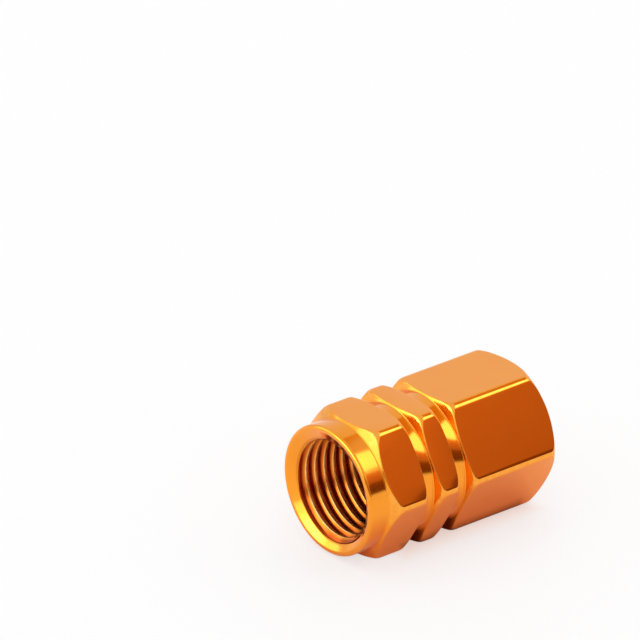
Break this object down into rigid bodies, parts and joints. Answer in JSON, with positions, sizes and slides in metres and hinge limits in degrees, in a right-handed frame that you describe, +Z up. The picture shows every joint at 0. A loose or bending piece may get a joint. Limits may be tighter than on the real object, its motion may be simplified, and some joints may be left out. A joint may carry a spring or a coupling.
{
  "type": "tyre valve cap",
  "caption": "Hexagonal metal tyre valve cap with turned grooves, a round collar and a threaded blind bore with a rubber sealing washer inside.",
  "frame": {"origin": "on the floor under the middle of the cap as it lies on one hexagon flat", "axes": "+Z up, the bore's axis along Y with the open mouth towards -Y and the closed end towards +Y, hexagon corners towards +X and -X"},
  "size_m": [0.0108, 0.016, 0.0095],
  "materials": {
    "anodised_aluminium": "bright dipped and gold-orange anodised, glossy",
    "black_rubber": "matt moulded rubber"
  },
  "bodies": {
    "root": {"cap_body": "anodised_aluminium", "seal_washer": "black_rubber"}
  },
  "joints": []
}
